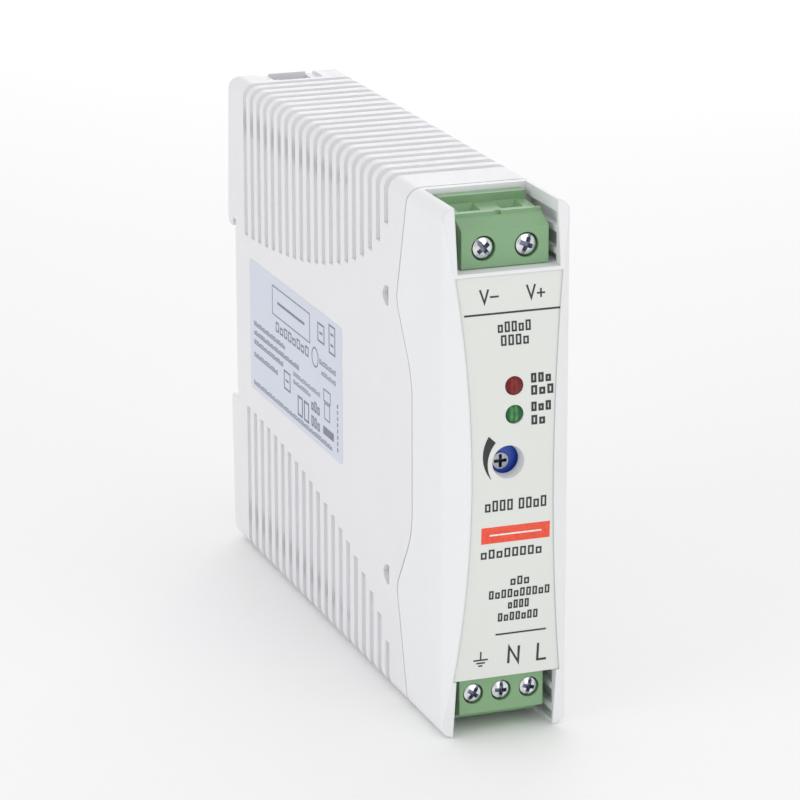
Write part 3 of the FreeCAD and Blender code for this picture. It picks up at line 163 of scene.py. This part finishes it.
def moulded(name, colour, rough=(0.42, 0.52), grain_mm=0.35, depth_mm=0.02, edge_mm=0.25, vary=0.025,
            **fixed):
    """Injection moulded plastic: fine spark-eroded grain, faint flow tone, soft edges."""
    shader = Shader(name, **fixed)
    if edge_mm:
        shader.soften(edge_mm)
    shader.bump(shader.noise(14, 1.0), 0.10, 0.25)
    shader.bump(shader.noise(grain_mm, 3.0), 0.35, depth_mm)
    flow = shader.ramp(shader.noise(22, 3.0), scaled(colour, 1 - vary), scaled(colour, 1 + vary))
    speck = shader.ramp(shader.noise(0.5, 2.0), scaled(colour, 1 - vary / 2), scaled(colour, 1 + vary / 2))
    return shader.finish(shader.blend(0.35, flow, speck), shader.between(shader.noise(3, 3.0), *rough))


def metal(name, colour, rough=(0.22, 0.4), scratch=(1, 1, 1), edge_mm=0.08, depth_mm=0.02):
    """Plated or drawn metal with fine scratches and a mottled plating."""
    shader = Shader(name, Metallic=1.0)
    shader.soften(edge_mm)
    shader.bump(shader.noise(0.5, 4.0, scratch), 0.4, depth_mm)
    tint = shader.ramp(shader.noise(1.3, 4.0), scaled(colour, 0.8), scaled(colour, 1.1))
    return shader.finish(tint, shader.between(shader.noise(0.8, 4.0), *rough))


def lens(name, deep, post_highlight_colour, contrast):
    """Tinted epoxy lamp: deep at the rim, with the lead frame drawn as two posts whose brightness is painted
    highlight of the metal seen through the epoxy.
    """
    post_offset, post_core, post_edge, middle_shift = 0.42 * MM, 0.04 * MM, 0.42 * MM, 0.1 * MM
    shader = Shader(name, Coat_Weight=0.15, Coat_Roughness=0.06, Specular_IOR_Level=0.25,
                    Subsurface_Weight=0.25, Subsurface_Scale=0.4 * MM)
    split = shader.node("ShaderNodeSeparateXYZ", Vector=shader.place)
    low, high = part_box("led_on")
    middle = (low.x + high.x) / 2 - middle_shift
    aside = shader.math("ABSOLUTE", shader.math("SUBTRACT", split.outputs["X"], middle))
    from_post = shader.math("ABSOLUTE", shader.math("SUBTRACT", aside, post_offset))
    # painted highlight: near each lead frame post the colour is pushed towards the brighter tone, standing in
    # for light the metal reflects through the epoxy
    post_highlight = shader.spread(from_post, post_core, post_edge, contrast, 0.0)
    post_highlight_patch = shader.math("MULTIPLY", post_highlight, shader.between(shader.noise(1.1, 2.0), 0.4, 1.2))
    shader.bump(shader.noise(2.5, 1.0), 0.05, 0.05)
    return shader.finish(shader.blend(post_highlight_patch, deep, post_highlight_colour), shader.between(shader.noise(2, 2.0), 0.16, 0.24))


def slotted(name, node, face_colour, recess_shade_colour, shallow, deep, metallic, rough):
    """Plated metal facing the front, with painted shade darkening it from shallow to deep, in mm behind its
    foremost point.
    """
    shader = Shader(name, Metallic=metallic)
    shader.soften(0.05)
    shader.bump(shader.noise(0.35, 3.0), 0.4, 0.03)
    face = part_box(node)[0].y
    split = shader.node("ShaderNodeSeparateXYZ", Vector=shader.place)
    # painted shade: deeper than shallow mm behind the face, the colour turns towards the dark shade colour,
    # standing in for the shade inside the recesses
    sunk = shader.spread(split.outputs["Y"], face + shallow * MM, face + deep * MM, 0.0, 1.0)
    tint = shader.ramp(shader.noise(0.8, 4.0), scaled(face_colour, 0.8), scaled(face_colour, 1.1))
    colour = shader.blend(sunk, tint, recess_shade_colour)
    return shader.finish(colour, shader.between(shader.noise(0.8, 3.0), *rough))


def printed(name, colour, rough=(0.35, 0.5)):
    """Screen-printed ink: slightly uneven in tone."""
    shader = Shader(name)
    shader.bump(shader.noise(0.2, 2.0), 0.25, 0.006)
    tint = shader.ramp(shader.noise(0.6, 3.0), scaled(colour, 0.88), scaled(colour, 1.12))
    return shader.finish(tint, shader.between(shader.noise(1.0, 2.0), *rough))


look = {  # colours as seen in the photograph where the piece shows there
    "housing": moulded("housing_plastic", tone(233, 233, 236), edge_mm=0.22),
    "cover": moulded("cover_plastic", tone(236, 237, 239), edge_mm=0.25),
    "latch": moulded("latch_plastic", tone(228, 228, 231)),
    "front_sheet": moulded("front_sheet", tone(227, 229, 225), (0.34, 0.42), 0.2, 0.006, 0.03, 0.012),
    "rating_sheet": moulded("rating_sheet", tone(210, 215, 229), (0.34, 0.42), 0.4, 0.004, 0, 0.015),
    "green": moulded("terminal_green", tone(133, 172, 130), (0.3, 0.4), 0.3, 0.01, 0.15, 0.04,
                     Subsurface_Weight=0.08, Subsurface_Scale=0.5 * MM),
    # the screw heads get painted shade in their recesses: the second tone is the painted shade colour
    "screw": slotted("screw_zinc", "output_screw_1", tone(232, 234, 238), tone(122, 128, 144), 0.42, 0.75,
                     1.0, (0.1, 0.28)),
    "clamp": metal("clamp_steel", tone(205, 203, 196), (0.25, 0.45)),
    "contact": metal("tinned_copper", tone(214, 208, 196), (0.3, 0.5)),
    "spring": metal("spring_steel", tone(176, 177, 181), (0.25, 0.4), (1, 1, 6)),
    "board": moulded("board_laminate", tone(36, 98, 58), (0.3, 0.42), 0.6, 0.02, 0.05, 0.10),
    "black": moulded("black_moulding", tone(34, 34, 36), (0.4, 0.55), 0.15, 0.012, 0.1, 0.15),
    # the lamps' second tone is painted highlight on their lead frame posts
    "red_lamp": lens("lamp_red", tone(112, 22, 20), tone(174, 62, 52), 0.35),
    "green_lamp": lens("lamp_green", tone(36, 98, 50), tone(110, 186, 118), 0.55),
    "blue": moulded("trimmer_blue", tone(52, 90, 200), (0.3, 0.4), 0.4, 0.05, 0.08, 0.25),
    # the trimmer rotor gets painted shade in its recessed cross: the second tone is the painted shade colour
    "rotor": slotted("rotor_plating", "trimmer_rotor", tone(196, 198, 206), tone(76, 80, 92), 0.05, 0.3,
                     0.6, (0.35, 0.55)),
    "ferrite": moulded("ferrite", tone(58, 58, 62), (0.5, 0.65), 0.25, 0.03, 0.12, 0.12),
    "copper": metal("copper_wire", tone(190, 110, 60), (0.25, 0.4), (1, 1, 8)),
    "tape": moulded("tape_yellow", tone(226, 196, 70), (0.25, 0.35), 0.4, 0.01, 0.05, 0.05),
    "bobbin": moulded("bobbin_moulding", tone(46, 45, 44)),
    "sleeve": moulded("can_sleeve", tone(40, 44, 70), (0.25, 0.35), 1.2, 0.02, 0.2, 0.08),
    "film": moulded("film_yellow", tone(224, 186, 60), (0.25, 0.35), 0.8, 0.02, 0.15, 0.05),
    "disc_green": moulded("disc_green", tone(60, 110, 78), (0.2, 0.35), 1.5, 0.08, 0.2, 0.08),
    "disc_blue": moulded("disc_blue", tone(44, 84, 148), (0.2, 0.35), 1.5, 0.08, 0.2, 0.08),
    "sink": metal("heat_sink_metal", tone(206, 208, 212), (0.3, 0.45), (1, 1, 12)),
    "lacquer": moulded("resistor_coat", tone(188, 164, 122), (0.3, 0.45), 0.6, 0.03, 0.1, 0.08),
    "insulator": moulded("insulating_film", tone(70, 70, 72), (0.4, 0.5), 0.5, 0.01, 0.05, 0.06),
}
GIVEN = {
    "rear_housing": "housing", "front_cover": "cover", "front_label": "front_sheet", "din_latch": "latch",
    "latch_spring": "spring", "output_terminal_body": "green", "input_terminal_body": "green",
    "output_contacts": "contact", "input_contacts": "contact", "main_board": "board", "front_board": "board",
    "indicator_board": "board", "indicator_header": "black", "board_header": "black", "led_low": "red_lamp",
    "led_on": "green_lamp", "trimmer_body": "blue", "trimmer_rotor": "rotor", "fuse": "black",
    "inrush_thermistor": "disc_green", "varistor": "disc_blue", "x_capacitor": "film", "choke_core": "ferrite",
    "choke_windings": "copper", "bridge_rectifier": "black", "transformer_core": "ferrite",
    "transformer_bobbin": "bobbin", "transformer_winding": "copper", "transformer_tape": "tape",
    "control_chip": "black", "optocoupler": "black", "y_capacitor": "disc_blue", "bulk_capacitor": "sleeve",
    "output_capacitor_1": "sleeve", "output_capacitor_2": "sleeve", "inductor_core": "ferrite",
    "inductor_winding": "copper", "switching_transistor": "black", "output_rectifier": "black",
    "primary_heat_sink": "sink", "secondary_heat_sink": "sink", "resistors": "lacquer", "diodes": "black",
    "insulation_sheet": "insulator", "rating_label": "rating_sheet",
}


for name, node in nodes.items():
    key = GIVEN.get(name) or ("screw" if "_screw_" in name else "clamp")
    node.data.materials.clear()
    node.data.materials.append(look[key])

# ------------------------------------------------------------------ thin printed pieces, in millimetres

BOW_RADIUS = 272.0
INK = 0.03  # thickness
FRONT_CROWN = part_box("front_label")[0].y / MM  # foremost point of the bowed front sheet
sticker_low, sticker_high = (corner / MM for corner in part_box("rating_label"))
STICKER_FACE = sticker_low.x + 0.035  # leaves room for the ink inside the CAD box
STICKER_BACK = sticker_low.x + 0.1
STICKER_CORNER = 1.0


def on_front(across, up, proud):
    """A point of the bowed front sheet. across is X and up is Z."""
    bow = BOW_RADIUS - math.sqrt(BOW_RADIUS ** 2 - up ** 2)
    return Vector((across, FRONT_CROWN + bow - proud, up)) * MM


def on_side(across, up, proud):
    """A point of the sticker. across runs forwards from the rail, left to right as the sticker is read."""
    return Vector((STICKER_FACE - proud, -across, up)) * MM


def offset_strip(path, width, closed=False):
    """The two sides of a line of the given width through the points, with mitred corners."""
    count = len(path)
    sides = []
    for place, point in enumerate(path):
        before = path[place - 1] if place or closed else None
        after = path[(place + 1) % count] if place < count - 1 or closed else None
        steps = []
        for start, end in ((before, point), (point, after)):
            if start is not None and end is not None:
                steps.append((Vector(end) - Vector(start)).normalized())
        direction = (steps[0] + steps[-1]).normalized()
        stretch = 1 / max(0.35, direction.dot(steps[0]))
        normal = Vector((-direction.y, direction.x)) * (width / 2 * stretch)
        sides.append((Vector(point) + normal, Vector(point) - normal))
    if closed:
        sides.append(sides[0])
    return sides


def bar(x0, x1, z0, z1):
    """A filled rectangle as a strip, from left to right."""
    return [(Vector((x0, z0)), Vector((x0, z1))), (Vector((x1, z0)), Vector((x1, z1)))]


def box_line(x0, x1, z0, z1, width):
    return offset_strip([(x0, z0), (x1, z0), (x1, z1), (x0, z1)], width, closed=True)


def ring(x, z, radius, width, sides=28):
    turns = [math.tau * k / sides for k in range(sides)]
    points = [(x + radius * math.cos(turn), z + radius * math.sin(turn)) for turn in turns]
    return offset_strip(points, width, closed=True)


def add_piece(name, work, material):
    """A visual piece on the case, from a bmesh that it uses up."""
    bmesh.ops.recalc_face_normals(work, faces=work.faces)
    mesh = bpy.data.meshes.new(name)
    work.to_mesh(mesh)
    work.free()
    piece = bpy.data.objects.new(name, mesh)
    bpy.context.scene.collection.objects.link(piece)
    mesh.materials.append(material)
    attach(piece, "case")
    return piece


def print_piece(name, strips, where, material, thickness=INK, sunk=0.02):
    """Closed thin solids that follow the surface under them, from sunk below it to thickness above it."""
    work = bmesh.new()
    for strip in strips:
        closed = (strip[0][0] - strip[-1][0]).length < 1e-6 and len(strip) > 3
        rows = strip[:-1] if closed else strip
        rings = []
        for left, right in rows:
            corners = [(left, thickness), (right, thickness), (right, -sunk), (left, -sunk)]
            rings.append([work.verts.new(where(spot.x, spot.y, proud)) for spot, proud in corners])
        for one, two in zip(rings, rings[1:] + rings[:1] if closed else rings[1:]):
            for k in range(4):
                after = (k + 1) % 4
                work.faces.new((one[k], one[after], two[after], two[k]))
        if not closed:
            work.faces.new(rings[0][::-1])
            work.faces.new(rings[-1])
    add_piece(name, work, material)


TALL_MARKS = "1101110110101111011010"  # 1 is a tall box and 0 a short one, in no particular order
BOX_WIDTH, BOX_GAP, WORD_SPACE = 0.8, 0.28, 0.6  # before a row is scaled to its length


def placeholder_row(x0, x1, z, height, widths, weight):
    """A row of tall and short open boxes in place of lettering. Each width is one box; None is a space."""
    total = sum(WORD_SPACE if width is None else width + BOX_GAP for width in widths) - BOX_GAP
    scale = (x1 - x0) / total
    strips = []
    x = x0
    half = weight / 2
    low = z - height / 2 + half
    first = int(abs(7 * x0 + 3 * z))
    for place, width in enumerate(widths):
        if width is None:
            x += WORD_SPACE * scale
            continue
        left, right = x + half, x + width * scale - half
        tall = TALL_MARKS[(first + place) % len(TALL_MARKS)] == "1"
        high = z + height * (0.5 if tall else 0.25) - half
        strips.append(box_line(left, right, low, high, weight))
        x += (width + BOX_GAP) * scale
    return strips


def row(count):
    return [BOX_WIDTH] * count


def sign_v(x, z):
    return offset_strip([(x - 0.72, z + 1.08), (x, z - 1.08), (x + 0.72, z + 1.08)], 0.33)


dark = printed("ink_dark", tone(46, 46, 51))
strips = [bar(-8.05, 8.8, 27.84, 28.15), bar(-2.3, 6.7, -27.44, -27.15)]
# the output poles' signs, V with a minus and V with a plus
strips += [sign_v(-4.45, 30.95), bar(-3.48, -1.95, 30.6, 30.89)]
strips += [sign_v(3.7, 31.1), bar(4.7, 6.12, 30.57, 30.85)]
strips += [bar(5.27, 5.56, 30.86, 31.45), bar(5.27, 5.56, 29.98, 30.56)]
# the input poles' signs, earth, N and L
strips += [bar(-4.9, -4.64, -31.5, -30.1), bar(-6.06, -3.47, -31.78, -31.51)]
strips += [bar(-5.5, -3.95, -32.33, -32.06), bar(-5.12, -4.4, -32.84, -32.58)]
strips.append(offset_strip([(0.25, -32.85), (0.25, -29.85), (2.0, -32.8), (2.0, -29.8)], 0.44))
strips.append(offset_strip([(5.45, -29.8), (5.45, -32.85), (7.03, -32.85)], 0.4))
for x0, x1, z, height, widths, weight in (
        (-2.3, 3.45, 25.65, 1.75, row(5), 0.3),
        (-1.8, 3.05, 23.45, 1.75, row(4), 0.3),
        (3.3, 6.8, 16.8, 1.6, row(3), 0.38),
        (3.3, 7.2, 14.75, 1.6, row(3), 0.38),
        (3.3, 6.75, 12.0, 1.6, row(3), 0.38),
        (3.3, 5.7, 9.75, 1.6, row(2), 0.38),
        (-4.8, 6.0, -4.3, 1.9, row(4) + [None] + row(4), 0.3),
        (-5.4, 5.35, -12.65, 1.6, row(8), 0.3),
        (0.0, 3.3, -17.85, 1.5, row(3), 0.28),
        (-3.75, 7.0, -20.0, 1.5, row(10), 0.28),
        (-0.3, 3.4, -22.05, 1.5, row(4), 0.28),
        (-2.0, 5.05, -24.2, 1.5, row(7), 0.28)):
    strips += placeholder_row(x0, x1, z, height, widths, weight)
print_piece("front_print", strips, on_front, dark)


def arc_through(first, middle, last, steps):
    """Points on the circle through three points, from the first to the last by way of the middle."""
    (ax, az), (bx, bz), (cx, cz) = first, middle, last
    twice_area = 2 * (ax * (bz - cz) + bx * (cz - az) + cx * (az - bz))
    a2, b2, c2 = ax * ax + az * az, bx * bx + bz * bz, cx * cx + cz * cz
    centre = Vector(((a2 * (bz - cz) + b2 * (cz - az) + c2 * (az - bz)) / twice_area,
                     (a2 * (cx - bx) + b2 * (ax - cx) + c2 * (bx - ax)) / twice_area))
    radius = (Vector(first) - centre).length
    start, end = (math.atan2(z - centre.y, x - centre.x) % math.tau for x, z in (first, last))
    turns = [start + (end - start) * k / steps for k in range(steps + 1)]
    return [centre + radius * Vector((math.cos(turn), math.sin(turn))) for turn in turns]


# the crescent beside the trimmer, wide at the top and running out to a point
outer = arc_through((-4.17, 7.7), (-5.23, 4.25), (-3.82, 0.35), 20)
inner = arc_through((-2.95, 6.53), (-4.3, 3.86), (-3.76, 0.39), 20)
print_piece("front_swoosh", [list(zip(inner, outer))], on_front, dark)

BAND_INK = 0.02
band = [bar(-5.38, 6.72, -10.78, -7.95)]
print_piece("front_band", band, on_front, printed("ink_red", tone(238, 82, 58)), BAND_INK)
pale_ink = printed("ink_pale", tone(244, 240, 236))
# one plain line, which starts inside the band's ink and stands proud of it
pale_line = [bar(-3.9, 5.2, -9.5, -9.23)]
print_piece("front_band_marks", pale_line, on_front, pale_ink, BAND_INK + 0.025, 0.005 - BAND_INK)

# ------------------------------------------------------------------ rating sticker on the left side


def rounded_outline(low, high, corner, steps=6):
    """Points round a rectangle in Y and Z with rounded corners."""
    outline = []
    for y, z, start in ((high.y - corner, high.z - corner, 0), (low.y + corner, high.z - corner, 90),
                        (low.y + corner, low.z + corner, 180), (high.y - corner, low.z + corner, 270)):
        for step in range(steps + 1):
            angle = math.radians(start + step * 90 / steps)
            outline.append((y + corner * math.cos(angle), z + corner * math.sin(angle)))
    return outline


def sheet(name, outline, x_out, x_in, material):
    """A thin sheet that stands square to X."""
    work = bmesh.new()
    front, back = ([work.verts.new(Vector((x, y, z)) * MM) for y, z in outline] for x in (x_out, x_in))
    work.faces.new(front)
    work.faces.new(back[::-1])
    for k in range(len(outline)):
        after = (k + 1) % len(outline)
        work.faces.new((front[after], front[k], back[k], back[after]))
    return add_piece(name, work, material)


sticker = sheet("rating_sticker", rounded_outline(sticker_low, sticker_high, STICKER_CORNER),
                STICKER_FACE, STICKER_BACK, look["rating_sheet"])
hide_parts("rating_label")

# plain frames, lines, a ring and blocks in place of the printed marks, signs and codes
marks = [
    box_line(22.4, 44.0, 5.7, 11.1, 0.22), ring(46.9, 3.8, 1.75, 0.28),
    box_line(48.6, 52.0, 7.5, 10.7, 0.35), bar(49.5, 51.1, 8.9, 9.3),
    box_line(54.8, 57.9, 6.9, 11.9, 0.35), bar(55.6, 57.1, 8.2, 8.6), bar(55.6, 57.1, 10.2, 10.6),
    box_line(29.0, 32.4, -6.8, -3.5, 0.35), bar(29.9, 31.5, -5.35, -4.95),
    box_line(37.0, 39.4, -9.6, -6.2, 0.42), box_line(40.6, 43.0, -9.6, -6.2, 0.42),
    box_line(51.6, 55.2, -2.9, -0.8, 0.25), box_line(52.0, 54.8, -6.2, -3.3, 0.25),
    bar(51.2, 57.0, -9.2, -7.7),
]
marks += [bar(58.9, 59.4, -10.4 + level * 1.15, -9.7 + level * 1.15) for level in range(8)]
marks.append(bar(25.4, 41.0, 8.15, 8.65))
for x0, x1, z, height, widths, weight in (
        (24.3, 43.2, 3.7, 1.9, row(8), 0.34),
        (11.1, 29.6, 1.0, 0.85, row(20), 0.16),
        (11.1, 37.6, -0.8, 0.85, row(28), 0.16),
        (11.1, 28.4, -2.6, 0.85, row(18), 0.16),
        (11.1, 25.2, -5.1, 0.85, row(15), 0.16),
        (10.7, 56.0, -10.7, 0.8, row(46), 0.14),
        (49.4, 58.3, 3.75, 0.9, row(8), 0.17),
        (50.4, 58.2, 1.9, 0.8, row(7), 0.15),
        (34.4, 49.5, -2.6, 0.75, row(14), 0.14),
        (34.4, 44.0, -4.1, 0.75, row(9), 0.14),
        (44.6, 49.2, -5.6, 2.0, row(3), 0.4),
        (44.6, 49.2, -8.6, 2.0, row(3), 0.4)):
    marks += placeholder_row(x0, x1, z, height, widths, weight)
print_piece("rating_print", marks, on_side, printed("ink_grey", tone(116, 120, 138)))

# ------------------------------------------------------------------ floor, light and camera


FLOOR = cad_low.z - 0.2 * MM
FLOOR_NEAR, WALL_START, WALL_TOP, HALF_WIDTH, SWEEP_RADIUS = -3.0, 2.6, 3.0, 4.0, 0.8  # metres


def paper(name, colour, rough):
    shader = Shader(name)
    tint = shader.ramp(shader.noise(400, 2.0), scaled(colour, 0.99), colour)
    return shader.finish(tint, shader.between(shader.noise(300, 2.0), rough, rough + 0.05))


def backdrop():
    """A pale floor that curves up into a wall far behind."""
    angles = [math.radians(degrees) for degrees in range(0, 91, 6)]
    curve = [(WALL_START + SWEEP_RADIUS * math.sin(angle), SWEEP_RADIUS - SWEEP_RADIUS * math.cos(angle))
             for angle in angles]
    profile = [(FLOOR_NEAR, 0.0)] + curve + [(WALL_START + SWEEP_RADIUS, WALL_TOP)]
    work = bmesh.new()
    rows = [[work.verts.new((x, y, z + FLOOR)) for x in (-HALF_WIDTH, HALF_WIDTH)] for y, z in profile]
    for one, two in zip(rows, rows[1:]):
        work.faces.new((one[0], one[1], two[1], two[0]))
    mesh = bpy.data.meshes.new("backdrop")
    work.to_mesh(mesh)
    work.free()
    for face in mesh.polygons:
        face.use_smooth = True
    piece = bpy.data.objects.new("backdrop", mesh)
    bpy.context.scene.collection.objects.link(piece)
    mesh.materials.append(paper("backdrop_paper", tone(254, 254, 254), 0.8))


def area_light(name, spot, target, side, power):
    """A square soft light. Places and side are in metres, the power in watts."""
    lamp = bpy.data.lights.new(name, "AREA")
    lamp.shape = "SQUARE"
    lamp.size = side
    lamp.energy = power
    holder = bpy.data.objects.new(name, lamp)
    holder.location = spot
    holder.rotation_euler = (Vector(target) - Vector(spot)).to_track_quat("-Z", "Y").to_euler()
    bpy.context.scene.collection.objects.link(holder)


backdrop()
object_middle = (0, -0.05, 0)
area_light("softbox_top", (0.05, -0.15, 0.75), object_middle, 0.7, 0.5)
area_light("softbox_left", (-0.75, -0.25, 0.22), object_middle, 0.6, 1.0)
area_light("softbox_front", (0.25, -0.95, 0.25), object_middle, 0.6, 1.0)
area_light("softbox_back", (0.35, 0.75, 0.35), (0, 0, 0), 0.5, 1.2)

world = bpy.data.worlds.new("studio")
bpy.context.scene.world = world
world.use_nodes = True
background = world.node_tree.nodes["Background"]
background.inputs["Color"].default_value = (1, 1, 1, 1)
background.inputs["Strength"].default_value = 0.76

bpy.context.scene.view_settings.view_transform = "Standard"
bpy.context.scene.view_settings.look = "None"

# the camera was solved from the outline of the object in the photograph
camera_data = bpy.data.cameras.new("camera")
camera_data.lens = 164.667
camera_data.sensor_width = 36.0
camera_data.clip_start = 0.01
camera = bpy.data.objects.new("camera", camera_data)
right = Vector((0.9400337, -0.3410766, -0.0018394))
down = Vector((-0.0993667, -0.2686954, -0.9580861))
forward = Vector((0.3262865, 0.9008161, -0.2864744))
position = Vector((-211.547, -644.329, 184.119)) * MM
turn = Matrix((right, -down, -forward)).transposed().to_4x4()
camera.matrix_world = Matrix.Translation(position) @ turn
bpy.context.scene.collection.objects.link(camera)
bpy.context.scene.camera = camera
